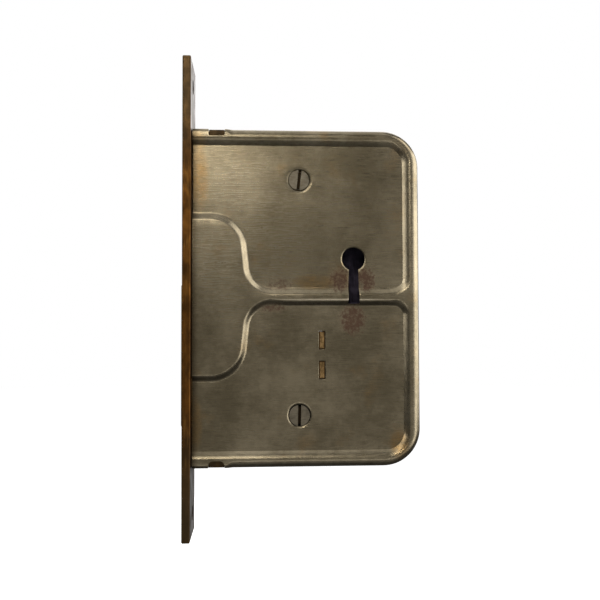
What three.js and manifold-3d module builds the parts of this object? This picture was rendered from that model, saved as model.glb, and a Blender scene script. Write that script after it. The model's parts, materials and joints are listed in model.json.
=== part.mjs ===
// Mortise deadlock: a pressed steel case behind a bronze faceplate, a sliding dead bolt and five lever tumblers.
//
// Frame, in millimetres: the origin is on the faceplate's outer face, on its centreline, level with the keyhole
// axis. +X runs into the door, away from the faceplate, +Z is up, and -Y is the cover side that the key enters.
// "Near" is the cover side (-Y) and "far" is the other side of the door (+Y).
import * as THREE from "three";
import { mergeVertices } from "three/addons/utils/BufferGeometryUtils.js";
import Module from "manifold-3d";

const wasm = await Module();
wasm.setup();

// ---------------------------------------------------------------- driving dimensions
const KEY_X = 72.7; // backset: faceplate's outer face to the keyhole axis
const KEY_Z = 0;
const MID_Z = KEY_Z - 16.4; // the faceplate and the case are centred here
const CLEARANCE = 0.35; // between a moving piece and its neighbour
const SEAT = 0.05; // between two fixed pieces that bear on each other
const SKIM = 0.01; // the same for a sloping cutter, whose size at the face matters
const PAST = 1; // how far a cutter reaches past the face it opens, or a joined piece into its neighbour
const WIDE = 120; // reaches past the whole lock from its middle

const PLATE = { thick: 3.6, width: 25.4, length: 203.2, edge: 0.5 };
const PLATE_HOLE = { fromMid: 91.9, radius: 3.2, sinkRadius: 5.6 };

const SHEET = 1.2; // thickness of the pressed steel
const CASE = { front: PLATE.thick + 0.3, rear: 101.1, halfHeight: 72.1, corner: 15.8, edge: 2.6 };
const NEAR = -7.95; // outer surface of the cover's raised rim
const FAR = 7.95; // outer surface of the back shell
const PARTING = 1.6; // the cover's skirt meets the back shell's wall here
const RECESS = 1.8; // depth of the two pressed panels below the rim
const SLOPE = 2.9; // width of the pressed slope round each panel
const SLOPE_SHIFT = 0.36; // how far the slope stands out inside the sheet, to keep its thickness
const PANEL = NEAR + RECESS; // outer surface of the pressed panels
const NEAR_INSIDE = PANEL + SHEET; // inner surface of the pressed panels
const FAR_INSIDE = FAR - SHEET;

// Foot of the slope round one panel. Heights are measured from MID_Z and the panels mirror each other about it.
const FOOT = {
  outer: 65.25,
  rear: 93.7,
  ridge: 4.25,
  plateau: 36.2,
  outerCorner: 7.5,
  ridgeCorner: 3.8,
  sweepX: 11.5,
  sweepRadius: 16,
  returnRadius: 9.5,
  lean: THREE.MathUtils.degToRad(6),
};

const KEYHOLE = { radius: 5.05, slotTop: 1.95, slotFoot: 2.45, slotEnd: -19.3 };
const SCREW = { x: 49.3, fromMid: 50.35, head: 4.45, shank: 2.3, slot: 1.3, slotDepth: 0.9, sunk: 0.1, end: 2 };
const SCREW_TURN = { upper: 6.5, lower: 1 }; // how far the top of each slot leans to the rear, in degrees
const THREAD_GAP = 0.15; // between a screw and its hole, on the radius
const NOTCH = { start: 10.7, end: 17.6, inner: 68.9, far: -2.5, upperCorner: 0.3, lowerCorner: 2 };
const LUG = { end: 20.5, inner: 58, outer: 70.3, near: -4.6, far: 6.3, screwFromMid: 64.2, screwY: 0.8 };
const LUG_RIVET = { x: 15, fromMid: 61.2 };
const TONGUE = { gap: 0.15, outer: 71.95, near: NEAR + 2.3 };
const LUG_SCREW = { head: 4, shank: 2, cone: 2.1, end: 14, sunk: 0.1, slotDepth: 0.9, slotHalf: 0.6 };
const POST = { radius: 3.6, rivet: 2.4, bore: 2.6, boreEnd: 3, sinkGap: 0.25 };

const THROW = 19; // travel of the dead bolt
const BOLT = { tip: -1, rear: 44.5, top: MID_Z + 5.4, bottom: MID_Z - 54.9, near: -4.5, far: 6.1, edge: 0.8 };
const BOLT_MID = (BOLT.top + BOLT.bottom) / 2;
const TAIL = {
  near: 3.1,
  joint: 22,
  limb: 53.2,
  limbWidth: 15,
  rear: 88,
  barEnd: 93,
  top: MID_Z + 45.8,
  low: MID_Z - 45.5,
  keyFloor: KEY_Z - 20.6,
  lowCorner: 4,
  highCorner: 3,
  shoulder: 6,
  step: 2,
};
const TALON = { start: 79.9, end: 84.5, edge: KEY_Z + 15.6, depth: KEY_Z + 19.3 };
const GUIDE = { near: 57.65, far: 60.35, half: 10.2, tenonInner: 2.5, recess: 0.25 };
const STUMP = { x: 88, z: KEY_Z + 26, half: 2, rivet: 1.5 };
const BOLT_RIVETS = [
  [28, -14.75],
  [28, 14.75],
  [38, 0],
];
const BOLT_RIVET_RADIUS = 2;

const PIVOT = new THREE.Vector2(SCREW.x, MID_Z + SCREW.fromMid);
const LEVER = {
  count: 5,
  thick: 1.15,
  pitch: 1.5,
  near: -4.6,
  boss: 8,
  bossFrom: THREE.MathUtils.degToRad(222),
  bore: POST.radius + 0.3,
  tail: 45.6,
  tailTop: 4.6,
  corner: 3,
  footStart: 36,
  foot: -17,
  waist: -15.5,
};
const BELLY_REACH = THREE.MathUtils.degToRad(33); // each way from straight above the key
const BITTING = [16.2, 14.4, 15.6, 13.8, 15]; // radius of each lever's belly about the key axis, at gate height
const LEVER_DROP = THREE.MathUtils.degToRad(6);
const LEVER_RISE = THREE.MathUtils.degToRad(4);
const REST_PIN = { x: 94, z: KEY_Z + 9.6, radius: 1.8, rivet: 1.2 };
const SPRING_PIN = { x: PIVOT.x + 36, z: PIVOT.y + 17.3, radius: 1.6, rivet: 1.2 };
const SPRING = { thick: 0.5, width: 0.8, foot: 9, slit: 0.8, slitDepth: 5.2, gap: 0.15, bow: 12, past: 2.5 };
const SPRING_STEPS = 16; // straight pieces along each leaf
const PILOT = { radius: 5.2, depth: 0.9, boss: 7.6, rise: 0.8, root: 0.5 }; // dimple that seats the key's end

const ROUND = 32; // sides of a turned piece
const ARC = 10; // steps in each arc of an outline
const EDGE_STEPS = 3; // facets across a rounded edge

// ---------------------------------------------------------------- solids
function solid(geometry) {
  const bare = geometry.index ? geometry.toNonIndexed() : geometry.clone();
  bare.deleteAttribute("normal");
  bare.deleteAttribute("uv");
  const merged = mergeVertices(bare, 1e-4);
  const corners = merged.index.array;
  const kept = [];
  for (let i = 0; i < corners.length; i += 3) {
    const [a, b, c] = corners.slice(i, i + 3);
    if (a !== b && b !== c && c !== a) kept.push(a, b, c);
  }
  return new wasm.Manifold(
    new wasm.Mesh({
      numProp: 3,
      vertProperties: merged.attributes.position.array,
      triVerts: new Uint32Array(kept),
    }),
  );
}

function geometryOf(body) {
  const mesh = body.getMesh();
  const geometry = new THREE.BufferGeometry();
  geometry.setAttribute("position", new THREE.BufferAttribute(new Float32Array(mesh.vertProperties), 3));
  geometry.setIndex(new THREE.BufferAttribute(new Uint32Array(mesh.triVerts), 1));
  const faceted = geometry.toNonIndexed();
  faceted.computeVertexNormals();
  return faceted;
}

function box(x0, x1, y0, y1, z0, z1) {
  const geometry = new THREE.BoxGeometry(x1 - x0, y1 - y0, z1 - z0);
  geometry.translate((x0 + x1) / 2, (y0 + y1) / 2, (z0 + z1) / 2);
  return solid(geometry);
}

function pointsOf(shape) {
  const points = shape.getPoints(ARC);
  const distinct = points.filter((point, i) => point.distanceTo(points.at(i - 1)) > 1e-6);
  return THREE.ShapeUtils.area(distinct) < 0 ? distinct.reverse() : distinct;
}

// A geometry skinned over outlines in the XZ plane, given as [shape, y] from near to far. Each outline has as
// many points as the next.
function skin(layers) {
  const rings = layers.map(([shape]) => pointsOf(shape));
  const count = rings[0].length;
  const positions = rings.flatMap((ring, i) => ring.flatMap((point) => [point.x, layers[i][1], point.y]));
  const far = (layers.length - 1) * count;
  const faces = THREE.ShapeUtils.triangulateShape(rings[0], []).flat();
  for (const [a, b, c] of THREE.ShapeUtils.triangulateShape(rings.at(-1), [])) {
    faces.push(far + a, far + c, far + b);
  }
  for (let start = 0; start < far; start += count) {
    for (let i = 0; i < count; i++) {
      const here = start + i;
      const next = start + ((i + 1) % count);
      faces.push(here, next + count, next, here, here + count, next + count);
    }
  }
  const geometry = new THREE.BufferGeometry();
  geometry.setAttribute("position", new THREE.Float32BufferAttribute(positions, 3));
  geometry.setIndex(faces);
  return geometry;
}

// A plate with one outline in the XZ plane, from y0 to y1.
function plate(shape, y0, y1) {
  return solid(skin([[shape, y0], [shape, y1]]));
}

// The layers that round off an edge: shapeAt gives the outline for an inset, and the edge's flat side is at y.
function roundedEdge(shapeAt, y, radius, inward) {
  return Array.from({ length: EDGE_STEPS + 1 }, (_, i) => {
    const turn = ((i / EDGE_STEPS) * Math.PI) / 2;
    return [shapeAt(radius * (1 - Math.sin(turn))), y + inward * radius * (1 - Math.cos(turn))];
  });
}

// A bar along X with a rectangular section and rounded ends' edges.
function bar(x0, x1, y0, y1, z0, z1, edge) {
  const section = (inset) => {
    const shape = new THREE.Shape();
    shape.moveTo(y0 + inset, z0 + inset);
    shape.lineTo(y1 - inset, z0 + inset);
    shape.lineTo(y1 - inset, z1 - inset);
    shape.lineTo(y0 + inset, z1 - inset);
    return shape;
  };
  const rear = roundedEdge(section, -x1, edge, 1);
  const front = roundedEdge(section, -x0, edge, -1).reverse();
  const geometry = skin([...rear, ...front]);
  geometry.rotateZ(Math.PI / 2);
  return solid(geometry);
}

// A turned piece along Y, with one radius at y0 and another at y1.
function turnedY(x, z, y0, y1, r0, r1 = r0) {
  const geometry = new THREE.CylinderGeometry(r1, r0, y1 - y0, ROUND);
  geometry.translate(x, (y0 + y1) / 2, z);
  return solid(geometry);
}

// A turned piece along X, with one radius at x0 and another at x1.
function turnedX(y, z, x0, x1, r0, r1 = r0) {
  const geometry = new THREE.CylinderGeometry(r1, r0, x1 - x0, ROUND);
  geometry.rotateZ(-Math.PI / 2);
  geometry.translate((x0 + x1) / 2, y, z);
  return solid(geometry);
}

const union = (bodies) => bodies.reduce((all, body) => all.add(body));
const cut = (body, tools) => tools.reduce((left, tool) => left.subtract(tool), body);

// ---------------------------------------------------------------- case
function caseShape(inset, front = CASE.front - 6 * PAST) {
  const rear = CASE.rear - inset;
  const top = MID_Z + CASE.halfHeight - inset;
  const bottom = MID_Z - CASE.halfHeight + inset;
  const radius = CASE.corner - inset;
  const shape = new THREE.Shape();
  shape.moveTo(front, bottom);
  shape.lineTo(rear - radius, bottom);
  shape.absarc(rear - radius, bottom + radius, radius, -Math.PI / 2, 0, false);
  shape.absarc(rear - radius, top - radius, radius, 0, Math.PI / 2, false);
  shape.lineTo(front, top);
  return shape;
}

// Outline of one pressed panel, grown outwards by grow. side is 1 above the centre ridge and -1 below it.
function panelShape(side, grow) {
  const shape = new THREE.Shape();
  const open = CASE.front - 8 * PAST;
  const z = (height) => MID_Z + side * height;
  const arc = (x, height, radius, from, to, clockwise) =>
    shape.absarc(x, z(height), radius, side * from, side * to, side > 0 ? clockwise : !clockwise);
  const rise = FOOT.plateau - FOOT.sweepRadius - FOOT.ridge - FOOT.returnRadius;
  const radii = FOOT.sweepRadius + FOOT.returnRadius;
  const straight = (rise + radii * Math.sin(FOOT.lean)) / Math.cos(FOOT.lean);
  const returnX = FOOT.sweepX + radii * Math.cos(FOOT.lean) + straight * Math.sin(FOOT.lean);
  const corner = FOOT.outerCorner;
  const small = FOOT.ridgeCorner;
  shape.moveTo(open, z(FOOT.outer + grow));
  shape.lineTo(FOOT.rear - corner, z(FOOT.outer + grow));
  arc(FOOT.rear - corner, FOOT.outer - corner, corner + grow, Math.PI / 2, 0, true);
  arc(FOOT.rear - small, FOOT.ridge + small, small + grow, 0, -Math.PI / 2, true);
  const returnZ = FOOT.ridge + FOOT.returnRadius;
  arc(returnX, returnZ, FOOT.returnRadius + grow, -Math.PI / 2, -Math.PI + FOOT.lean, true);
  arc(FOOT.sweepX, FOOT.plateau - FOOT.sweepRadius, FOOT.sweepRadius - grow, FOOT.lean, Math.PI / 2, false);
  shape.lineTo(open, z(FOOT.plateau - grow));
  return shape;
}

// The pocket that pressing one panel leaves: its floor at y and its sides sloping outwards to the rim.
function pocket(side, grow, y) {
  const mouth = panelShape(side, grow + SLOPE);
  return solid(skin([[mouth, y - RECESS - 4 * PAST], [mouth, y - RECESS], [panelShape(side, grow), y]]));
}

const ahead = (y0, y1) => box(-WIDE, CASE.front, y0, y1, MID_Z - WIDE, MID_Z + WIDE);

function keyhole(y0, y1) {
  const slot = new THREE.Shape();
  slot.moveTo(KEY_X - KEYHOLE.slotTop, KEY_Z);
  slot.lineTo(KEY_X + KEYHOLE.slotTop, KEY_Z);
  slot.lineTo(KEY_X + KEYHOLE.slotFoot, KEY_Z + KEYHOLE.slotEnd);
  slot.lineTo(KEY_X - KEYHOLE.slotFoot, KEY_Z + KEYHOLE.slotEnd);
  return turnedY(KEY_X, KEY_Z, y0, y1, KEYHOLE.radius).add(plate(slot, y0, y1));
}

const heights = [MID_Z + SCREW.fromMid, MID_Z - SCREW.fromMid];

// The two riveted ends of the guide plate, as [low, high] heights.
const tenons = [
  [BOLT_MID - GUIDE.half, BOLT_MID - GUIDE.tenonInner],
  [BOLT_MID + GUIDE.tenonInner, BOLT_MID + GUIDE.half],
];

function tenonHoles(y0, y1) {
  return tenons.map(([low, high]) => box(GUIDE.near - SEAT, GUIDE.far + SEAT, y0, y1, low - SEAT, high + SEAT));
}

// Outline of the notch in one end of the rim, drawn in by inset and reaching out to outer. The lower notch is
// arched.
function notchShape(side, inset, outer) {
  const corner = side > 0 ? NOTCH.upperCorner : NOTCH.lowerCorner;
  const start = NOTCH.start + inset;
  const end = NOTCH.end - inset;
  const cornerZ = MID_Z + side * (NOTCH.inner + inset + corner);
  const quarter = (side * Math.PI) / 2;
  const shape = new THREE.Shape();
  shape.moveTo(start, MID_Z + side * outer);
  shape.lineTo(end, MID_Z + side * outer);
  shape.lineTo(end, cornerZ);
  shape.absarc(end - corner, cornerZ, corner, 0, -quarter, side > 0);
  shape.absarc(start + corner, cornerZ, corner, -quarter, -2 * quarter, side > 0);
  return shape;
}

const notch = (side) => plate(notchShape(side, 0, CASE.halfHeight + PAST), NEAR - PAST, NOTCH.far);

function caseCover() {
  const outside = solid(skin([...roundedEdge(caseShape, NEAR, CASE.edge, 1), [caseShape(0), PARTING]]));
  const hollow = cut(plate(caseShape(SHEET, CASE.front - 5 * PAST), NEAR + SHEET, PARTING + PAST), [
    pocket(1, SLOPE_SHIFT, NEAR_INSIDE),
    pocket(-1, SLOPE_SHIFT, NEAR_INSIDE),
  ]);
  const sink = SCREW.head + THREAD_GAP;
  return cut(outside, [
    pocket(1, 0, PANEL),
    pocket(-1, 0, PANEL),
    hollow,
    ahead(NEAR - PAST, PARTING + PAST),
    keyhole(NEAR - PAST, NEAR_INSIDE + PAST),
    ...heights.map((z) => turnedY(SCREW.x, z, PANEL - SKIM, NEAR_INSIDE + SKIM, sink, sink - SHEET)),
    ...tenonHoles(PANEL - PAST, NEAR_INSIDE + PAST),
    notch(1),
    notch(-1),
  ]);
}

function caseBack() {
  const edge = roundedEdge(caseShape, FAR, CASE.edge, -1).reverse();
  const rim = solid(skin([[caseShape(0), PARTING + SEAT], ...edge]));
  const hollow = plate(caseShape(SHEET, CASE.front - 5 * PAST), PARTING - PAST, FAR_INSIDE);
  const boss = turnedY(KEY_X, KEY_Z, FAR - PILOT.root, FAR + PILOT.rise, PILOT.boss, PILOT.boss - PILOT.rise);
  const rivetHole = (x, z, radius) => turnedY(x, z, FAR_INSIDE - PAST, FAR + PAST, radius + SEAT);
  return cut(rim.add(boss), [
    hollow,
    ahead(PARTING - PAST, FAR + PAST),
    turnedY(KEY_X, KEY_Z, FAR_INSIDE - PAST, FAR_INSIDE + PILOT.depth, PILOT.radius),
    ...heights.map((z) => rivetHole(SCREW.x, z, POST.rivet)),
    rivetHole(REST_PIN.x, REST_PIN.z, REST_PIN.rivet),
    rivetHole(SPRING_PIN.x, SPRING_PIN.z, SPRING_PIN.rivet),
    ...[1, -1].map((side) => rivetHole(LUG_RIVET.x, MID_Z + side * LUG_RIVET.fromMid, POST.rivet)),
    ...tenonHoles(FAR_INSIDE - PAST, FAR + PAST),
  ]);
}

// ---------------------------------------------------------------- faceplate and its fixings
const lugScrewZ = (side) => MID_Z + side * LUG.screwFromMid;

function faceplate() {
  const half = PLATE.width / 2;
  const blank = bar(0, PLATE.thick, -half, half, MID_Z - PLATE.length / 2, MID_Z + PLATE.length / 2, PLATE.edge);
  const near = BOLT.near - CLEARANCE;
  const far = BOLT.far + CLEARANCE / 2;
  const mouth = box(-PAST, PLATE.thick + PAST, near, far, BOLT.bottom - CLEARANCE, BOLT.top + CLEARANCE);
  const screwHole = (y, z, radius, sink) =>
    turnedX(y, z, -PAST, PLATE.thick + PAST, radius).add(turnedX(y, z, -SKIM, sink - radius, sink, radius));
  return cut(blank, [
    mouth,
    ...[1, -1].map((side) =>
      screwHole(0, MID_Z + side * PLATE_HOLE.fromMid, PLATE_HOLE.radius, PLATE_HOLE.sinkRadius),
    ),
    ...[1, -1].map((side) =>
      screwHole(LUG.screwY, lugScrewZ(side), LUG_SCREW.shank + THREAD_GAP, LUG_SCREW.head + THREAD_GAP),
    ),
  ]);
}

// The block behind each end of the case that the faceplate screws into, with a tongue that shows in the rim's
// notch.
function frontLug(side) {
  const inner = MID_Z + side * LUG.inner;
  const outer = MID_Z + side * LUG.outer;
  const low = Math.min(inner, outer);
  const high = Math.max(inner, outer);
  const block = box(PLATE.thick + SEAT, LUG.end, LUG.near, LUG.far, low, high);
  const tongue = plate(notchShape(side, TONGUE.gap, TONGUE.outer), TONGUE.near, NOTCH.far - TONGUE.gap);
  const rivet = turnedY(LUG_RIVET.x, MID_Z + side * LUG_RIVET.fromMid, LUG.far - PAST, FAR, POST.rivet);
  const thread = turnedX(LUG.screwY, lugScrewZ(side), 0, LUG_SCREW.end + PAST, LUG_SCREW.shank + THREAD_GAP);
  return block.add(tongue).add(rivet).subtract(thread);
}

// A countersunk machine screw along X, its slot across the faceplate.
function faceplateScrew(side) {
  const { head, shank, cone, end, sunk, slotDepth, slotHalf } = LUG_SCREW;
  const y = LUG.screwY;
  const z = lugScrewZ(side);
  const body = turnedX(y, z, sunk, cone, head, shank).add(turnedX(y, z, cone - SEAT, end, shank));
  const reach = head + PAST;
  return body.subtract(box(-PAST, sunk + slotDepth, y - reach, y + reach, z - slotHalf, z + slotHalf));
}

// A countersunk machine screw along Y that holds the cover to its post.
function coverScrew(z, turn) {
  const top = PANEL + SCREW.sunk;
  const cone = SCREW.head - SCREW.shank;
  const head = turnedY(SCREW.x, z, top, top + cone, SCREW.head, SCREW.shank);
  const shank = turnedY(SCREW.x, z, top + cone - SEAT, SCREW.end, SCREW.shank);
  const slot = new THREE.BoxGeometry(SCREW.slot, 2 * SCREW.slotDepth, 2 * (SCREW.head + PAST));
  slot.rotateY(THREE.MathUtils.degToRad(turn));
  slot.translate(SCREW.x, top, z);
  return head.add(shank).subtract(solid(slot));
}

function coverPost(z) {
  const near = NEAR_INSIDE + SEAT;
  const sink = SCREW.head - SHEET + POST.sinkGap;
  const body = turnedY(SCREW.x, z, near, FAR_INSIDE - SEAT, POST.radius);
  return cut(body.add(turnedY(SCREW.x, z, FAR_INSIDE - PAST, FAR, POST.rivet)), [
    turnedY(SCREW.x, z, near - PAST, POST.boreEnd, POST.bore),
    turnedY(SCREW.x, z, near - SKIM, near + sink - POST.bore, sink, POST.bore),
  ]);
}

// A plain pin riveted through the back shell.
function pin({ x, z, radius, rivet }) {
  const body = turnedY(x, z, NEAR_INSIDE + CLEARANCE, FAR_INSIDE - SEAT, radius);
  return body.add(turnedY(x, z, FAR_INSIDE - PAST, FAR, rivet));
}

// ---------------------------------------------------------------- bolt
function boltGuide() {
  const low = BOLT_MID - GUIDE.half;
  const high = BOLT_MID + GUIDE.half;
  const web = box(GUIDE.near, GUIDE.far, NEAR_INSIDE + SEAT, FAR_INSIDE - SEAT, low, high);
  const ends = tenons.map(([from, to]) => box(GUIDE.near, GUIDE.far, PANEL + GUIDE.recess, FAR, from, to));
  return union([web, ...ends]);
}

const rivetHolesInBolt = (radius) =>
  BOLT_RIVETS.map(([x, up]) => turnedY(x, BOLT_MID + up, BOLT.near - PAST, BOLT.far + PAST, radius));

function boltHead() {
  const blank = bar(BOLT.tip, BOLT.rear + BOLT.edge, BOLT.near, BOLT.far, BOLT.bottom, BOLT.top, BOLT.edge);
  const behind = box(BOLT.rear, BOLT.rear + PAST, -WIDE, WIDE, MID_Z - WIDE, MID_Z + WIDE);
  const start = TAIL.joint - SEAT;
  const low = TAIL.low - SEAT;
  const rebate = box(start, BOLT.rear + PAST, TAIL.near - SEAT, BOLT.far + PAST, low, BOLT.top + PAST);
  return cut(blank, [behind, rebate, ...rivetHolesInBolt(BOLT_RIVET_RADIUS + SEAT)]);
}

// The flat plate behind the head. It passes the key in a C, and the key's bit throws it by the talon in its upper
// arm.
function boltTail() {
  const { limb, keyFloor, lowCorner, highCorner, shoulder } = TAIL;
  const limbFront = limb - TAIL.limbWidth;
  const shape = new THREE.Shape();
  shape.moveTo(TAIL.joint, TAIL.low);
  shape.lineTo(TAIL.rear, TAIL.low);
  shape.lineTo(TAIL.rear, keyFloor);
  shape.lineTo(limb + lowCorner, keyFloor);
  shape.absarc(limb + lowCorner, keyFloor + lowCorner, lowCorner, -Math.PI / 2, -Math.PI, true);
  shape.absarc(limb + highCorner, TALON.edge - highCorner, highCorner, Math.PI, Math.PI / 2, true);
  shape.lineTo(TALON.start, TALON.edge);
  shape.lineTo(TALON.start, TALON.depth);
  shape.lineTo(TALON.end, TALON.depth);
  shape.lineTo(TALON.end, TALON.edge);
  shape.lineTo(TAIL.barEnd, TALON.edge);
  shape.lineTo(TAIL.barEnd, TAIL.top);
  shape.lineTo(limbFront + shoulder, TAIL.top);
  shape.absarc(limbFront + shoulder, TAIL.top - shoulder, shoulder, Math.PI / 2, Math.PI, false);
  shape.lineTo(limbFront, BOLT.top - TAIL.step);
  shape.lineTo(TAIL.joint, BOLT.top - TAIL.step);
  const window = box(
    GUIDE.near - CLEARANCE,
    GUIDE.far + THROW + CLEARANCE,
    TAIL.near - PAST,
    BOLT.far + PAST,
    BOLT_MID - GUIDE.half - CLEARANCE,
    BOLT_MID + GUIDE.half + CLEARANCE,
  );
  return cut(plate(shape, TAIL.near, BOLT.far), [
    window,
    turnedY(STUMP.x, STUMP.z, TAIL.near - PAST, BOLT.far + PAST, STUMP.rivet + SEAT),
    ...rivetHolesInBolt(BOLT_RIVET_RADIUS + SEAT),
  ]);
}

function boltStump() {
  const half = STUMP.half;
  const block = box(STUMP.x - half, STUMP.x + half, BOLT.near, TAIL.near - SEAT, STUMP.z - half, STUMP.z + half);
  return block.add(turnedY(STUMP.x, STUMP.z, TAIL.near - PAST, BOLT.far, STUMP.rivet));
}

const boltRivet = ([x, up]) => turnedY(x, BOLT_MID + up, BOLT.near, BOLT.far, BOLT_RIVET_RADIUS);

// ---------------------------------------------------------------- levers
const leverNear = (index) => LEVER.near + index * LEVER.pitch;

// Where the stump stands for a lever turned by angle about its pivot, in the lever's own frame.
function stumpInLever(travel, angle) {
  const stump = new THREE.Vector2(STUMP.x - travel - PIVOT.x, STUMP.z - PIVOT.y);
  return stump.rotateAround(new THREE.Vector2(), -angle);
}

// The pocket that lets a lever turn about the standing stump, after the bolt has moved by travel.
function leverPocket(travel, y0, y1) {
  const room = STUMP.half * (Math.cos(LEVER_DROP) + Math.sin(LEVER_DROP)) + CLEARANCE;
  const ends = [-LEVER_DROP, 0, LEVER_RISE].map((angle) => stumpInLever(travel, angle));
  const u = ends.map((point) => PIVOT.x + point.x);
  const v = ends.map((point) => PIVOT.y + point.y);
  return box(Math.min(...u) - room, Math.max(...u) + room, y0, y1, Math.min(...v) - room, Math.max(...v) + room);
}

// A lever tumbler, drawn at the height where its gate lets the stump through.
function lever(index) {
  const y0 = leverNear(index);
  const y1 = y0 + LEVER.thick;
  const { tail, tailTop, corner, foot } = LEVER;
  const at = (u, v) => [PIVOT.x + u, PIVOT.y + v];
  const shape = new THREE.Shape();
  shape.moveTo(...at(0, LEVER.boss));
  shape.lineTo(...at(tail - corner, tailTop));
  shape.quadraticCurveTo(...at(tail, tailTop), ...at(tail, tailTop - corner));
  shape.lineTo(...at(tail, foot + corner));
  shape.quadraticCurveTo(...at(tail, foot), ...at(tail - corner, foot));
  shape.lineTo(...at(LEVER.footStart, foot));
  shape.absarc(KEY_X, KEY_Z, BITTING[index], Math.PI / 2 - BELLY_REACH, Math.PI / 2 + BELLY_REACH, false);
  shape.lineTo(...at(LEVER.boss, LEVER.waist));
  shape.absarc(PIVOT.x, PIVOT.y, LEVER.boss, LEVER.bossFrom, Math.PI / 2, true);
  const gate = STUMP.half + CLEARANCE;
  const channel = box(STUMP.x - THROW, STUMP.x, y0 - PAST, y1 + PAST, STUMP.z - gate, STUMP.z + gate);
  const middle = PIVOT.x + SPRING.foot;
  const half = SPRING.slit / 2;
  const top = PIVOT.y + LEVER.boss + PAST;
  const slit = box(middle - half, middle + half, y0 - PAST, y1 + PAST, PIVOT.y + SPRING.slitDepth, top);
  return cut(plate(shape, y0, y1), [
    turnedY(PIVOT.x, PIVOT.y, y0 - PAST, y1 + PAST, LEVER.bore),
    leverPocket(0, y0 - PAST, y1 + PAST),
    leverPocket(THROW, y0 - PAST, y1 + PAST),
    channel,
    slit,
  ]);
}

// A leaf spring: it stands in its lever's slit, bows over the lever and bears up against the spring pin.
function leverSpring(index) {
  const tip = SPRING_PIN.z - SPRING_PIN.radius - SPRING.thick / 2 - SPRING.gap;
  const foot = new THREE.Vector2(PIVOT.x + SPRING.foot, PIVOT.y + SPRING.slitDepth + SPRING.gap);
  const bend = new THREE.Vector2(foot.x, PIVOT.y + LEVER.boss);
  const path = new THREE.CurvePath();
  path.add(new THREE.LineCurve(foot, bend));
  path.add(
    new THREE.CubicBezierCurve(
      bend,
      new THREE.Vector2(bend.x, tip - SPRING.past),
      new THREE.Vector2(bend.x + SPRING.bow, tip),
      new THREE.Vector2(SPRING_PIN.x + SPRING.past, tip),
    ),
  );
  const left = [];
  const right = [];
  for (let i = 0; i <= SPRING_STEPS; i++) {
    const point = path.getPointAt(i / SPRING_STEPS);
    const along = path.getTangentAt(i / SPRING_STEPS);
    const across = new THREE.Vector2(-along.y, along.x).multiplyScalar(SPRING.thick / 2);
    left.push(point.clone().add(across));
    right.unshift(point.clone().sub(across));
  }
  const near = leverNear(index) + (LEVER.thick - SPRING.width) / 2;
  return plate(new THREE.Shape([...left, ...right]), near, near + SPRING.width);
}

// ---------------------------------------------------------------- assembly
const pressedSteel = { color: 0x857c6b, roughness: 0.38, metalness: 1 };
const bronze = { color: 0x5a4020, roughness: 0.45, metalness: 1 };
const boltBronze = { color: 0x94733a, roughness: 0.4, metalness: 1 };
const screwSteel = { color: 0x8c8579, roughness: 0.35, metalness: 1 };
const plainSteel = { color: 0x6f6c66, roughness: 0.5, metalness: 1 };
const leverBrass = { color: 0xa98a4c, roughness: 0.4, metalness: 1 };
const springSteel = { color: 0x4a4d55, roughness: 0.35, metalness: 1 };

const lock = new THREE.Group();

function place(name, body, finish) {
  const mesh = new THREE.Mesh(geometryOf(body), new THREE.MeshStandardMaterial(finish));
  mesh.name = name;
  lock.add(mesh);
}

place("case_cover", caseCover(), pressedSteel);
place("case_back_shell", caseBack(), pressedSteel);
place("faceplate", faceplate(), bronze);
place("bolt_guide_plate", boltGuide(), boltBronze);
place("lever_pivot_post", coverPost(heights[0]), plainSteel);
place("lower_cover_post", coverPost(heights[1]), plainSteel);
place("upper_cover_screw", coverScrew(heights[0], SCREW_TURN.upper), screwSteel);
place("lower_cover_screw", coverScrew(heights[1], SCREW_TURN.lower), screwSteel);
place("lever_rest_pin", pin(REST_PIN), plainSteel);
place("spring_rest_pin", pin(SPRING_PIN), plainSteel);
for (const [name, side] of [["upper", 1], ["lower", -1]]) {
  place(name + "_front_lug", frontLug(side), bronze);
  place(name + "_faceplate_screw", faceplateScrew(side), screwSteel);
}

place("bolt_head", boltHead(), boltBronze);
place("bolt_tail", boltTail(), plainSteel);
place("bolt_stump", boltStump(), plainSteel);
BOLT_RIVETS.forEach((at, i) => place("bolt_rivet_" + (i + 1), boltRivet(at), plainSteel));

for (let i = 0; i < LEVER.count; i++) {
  place("lever_" + (i + 1), lever(i), leverBrass);
  place("lever_spring_" + (i + 1), leverSpring(i), springSteel);
}

export default lock;
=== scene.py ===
"""The looks of a mortise deadlock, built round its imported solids.

The row frame is in metres: +X runs into the door, +Z is up and -Y is the cover side. Outlines are worked
out in millimetres and turned into metres when a mesh is made.
"""

import json
import math

import bmesh
import bpy
import numpy as np
from mathutils import Matrix, Vector
from mathutils.geometry import delaunay_2d_cdt


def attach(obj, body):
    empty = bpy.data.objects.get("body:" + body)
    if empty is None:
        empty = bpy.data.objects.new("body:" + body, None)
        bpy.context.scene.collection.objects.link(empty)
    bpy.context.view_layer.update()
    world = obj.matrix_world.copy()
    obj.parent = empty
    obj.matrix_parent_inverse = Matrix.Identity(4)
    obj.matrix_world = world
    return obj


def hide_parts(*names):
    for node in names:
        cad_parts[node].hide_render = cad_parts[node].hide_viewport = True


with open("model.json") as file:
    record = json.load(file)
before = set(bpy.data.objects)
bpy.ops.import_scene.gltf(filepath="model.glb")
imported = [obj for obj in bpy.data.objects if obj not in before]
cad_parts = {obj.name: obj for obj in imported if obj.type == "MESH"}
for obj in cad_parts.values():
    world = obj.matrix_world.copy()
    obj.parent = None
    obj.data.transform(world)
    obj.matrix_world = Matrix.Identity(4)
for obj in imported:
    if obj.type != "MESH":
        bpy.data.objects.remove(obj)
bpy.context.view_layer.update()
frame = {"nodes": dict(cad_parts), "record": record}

MM = 0.001
QUARTER = math.pi / 2

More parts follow.
